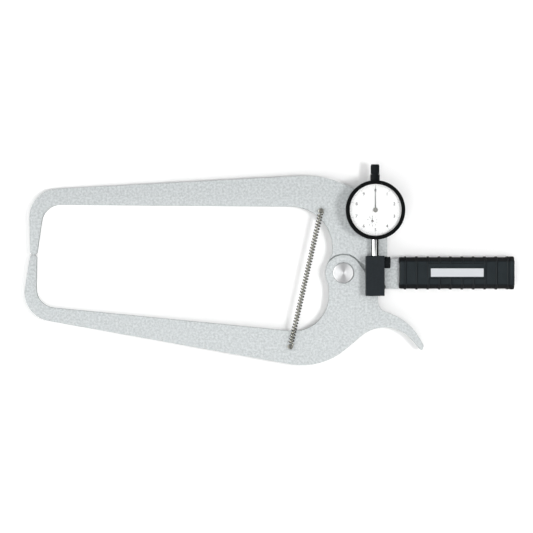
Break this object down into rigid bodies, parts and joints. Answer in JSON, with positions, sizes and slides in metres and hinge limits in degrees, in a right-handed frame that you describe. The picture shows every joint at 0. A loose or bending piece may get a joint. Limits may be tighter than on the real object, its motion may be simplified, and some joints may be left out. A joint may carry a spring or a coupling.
{
  "type": "dial caliper gauge",
  "caption": "Outside dial caliper gauge: long bowed arms on a pivot, sprung shut, a dial gauge that reads the jaw opening, a finger trigger and a ribbed grip.",
  "frame": {"origin": "on the pivot axis, at the rear end face of the pivot screw and its nut", "axes": "+X runs along the grip away from the jaws, +Y from the moving arm to the fixed arm and along the gauge stem, +Z out of the dial"},
  "size_m": [0.4737, 0.1943, 0.037],
  "materials": {
    "hammer_paint": "silver hammer paint",
    "turned_steel": "fine turned steel",
    "black_oxide": "satin black",
    "black_grip": "moulded, satin",
    "label_aluminium": "brushed, bare",
    "spring_steel": "drawn wire",
    "chrome": "bright plated",
    "brass": "fine stamped",
    "black_bezel": "satin black",
    "rubber": "soft black",
    "dial_white": "matt white enamel",
    "pointer_black": "matt dark grey",
    "crystal": "clear flat crystal"
  },
  "bodies": {
    "frame": {"back_cover": "chrome", "bezel_wire": "spring_steel", "block_screw_1": "black_oxide", "block_screw_2": "black_oxide", "clamp_pad": "brass", "cover_gasket": "rubber", "cover_screw_1": "turned_steel", "cover_screw_2": "turned_steel", "cover_screw_3": "turned_steel", "cover_screw_4": "turned_steel", "dust_cap": "black_oxide", "fixed_arm": "hammer_paint", "fixed_spring_post": "turned_steel", "front_plate": "brass", "gauge_block": "black_oxide", "gauge_case": "chrome", "gauge_stem": "chrome", "grip_sleeve": "black_grip", "hairspring": "spring_steel", "hairspring_stud": "turned_steel", "inner_dial": "dial_white", "label_plate": "label_aluminium", "movement_pillar_1": "brass", "movement_pillar_2": "brass", "movement_pillar_3": "brass", "movement_pillar_4": "brass", "movement_screw_1": "turned_steel", "movement_screw_2": "turned_steel", "movement_screw_3": "turned_steel", "movement_screw_4": "turned_steel", "pinion_bridge": "brass", "pivot_nut": "turned_steel", "pivot_screw": "turned_steel", "rear_plate": "brass", "return_spring": "spring_steel", "return_spring_anchor": "turned_steel", "tension_spring": "spring_steel", "top_collar": "black_oxide"},
    "moving_arm": {"moving_arm": "hammer_paint", "pivot_bush": "brass", "moving_spring_post": "turned_steel", "contact_pin": "turned_steel"},
    "spindle": {"spindle": "turned_steel", "contact_point": "turned_steel", "guide_pin": "turned_steel", "spring_peg": "turned_steel"},
    "first_arbor": {"rack_pinion": "turned_steel", "first_gear": "brass", "small_pointer": "pointer_black"},
    "centre_arbor": {"centre_pinion": "turned_steel", "main_pointer": "pointer_black"},
    "takeup_arbor": {"takeup_arbor": "turned_steel", "takeup_gear": "brass"},
    "bezel": {"bezel": "black_bezel", "crystal": "crystal", "crystal_gasket": "rubber", "outer_dial": "dial_white"},
    "clamp_screw": {"clamp_screw": "black_oxide"}
  },
  "joints": [
    {"name": "arm_hinge", "type": "hinge", "parent": "frame", "child": "moving_arm", "pos_m": [0, 0, 0.0045], "axis": [0, 0, 1], "range_deg": [0, 19.1], "stiffness_Nm_per_rad": 0.25, "springref_deg": -68.75, "deforming": ["tension_spring"]},
    {"name": "spindle_slide", "type": "slide", "parent": "frame", "child": "spindle", "axis": [0, 1, 0], "range_m": [0, 0.01], "deforming": ["return_spring"]},
    {"name": "first_arbor_spin", "type": "hinge", "parent": "frame", "child": "first_arbor", "pos_m": [0.02729, 0.04988, 0.021], "axis": [0, 0, 1], "range_deg": [0, 360]},
    {"name": "centre_arbor_spin", "type": "hinge", "parent": "frame", "child": "centre_arbor", "pos_m": [0.03014, 0.0605, 0.021], "axis": [0, 0, 1], "range_deg": [-3600, 0]},
    {"name": "takeup_arbor_spin", "type": "hinge", "parent": "frame", "child": "takeup_arbor", "pos_m": [0.03533, 0.0635, 0.021], "axis": [0, 0, 1], "range_deg": [0, 720], "deforming": ["hairspring"]},
    {"name": "bezel_turn", "type": "hinge", "parent": "frame", "child": "bezel", "pos_m": [0.03014, 0.0605, 0.0255], "axis": [0, 0, 1], "continuous": true},
    {"name": "clamp_screw_turn", "type": "hinge", "parent": "frame", "child": "clamp_screw", "pos_m": [0.042, 0.01, 0.0163], "axis": [1, 0, 0], "range_deg": [0, 360]}
  ],
  "couplings": [
    {"joint": "spindle_slide", "follows": "arm_hinge", "m_per_rad": 0.03},
    {"joint": "first_arbor_spin", "follows": "arm_hinge", "ratio": 18.85},
    {"joint": "centre_arbor_spin", "follows": "arm_hinge", "ratio": -188.5},
    {"joint": "takeup_arbor_spin", "follows": "arm_hinge", "ratio": 37.699}
  ]
}
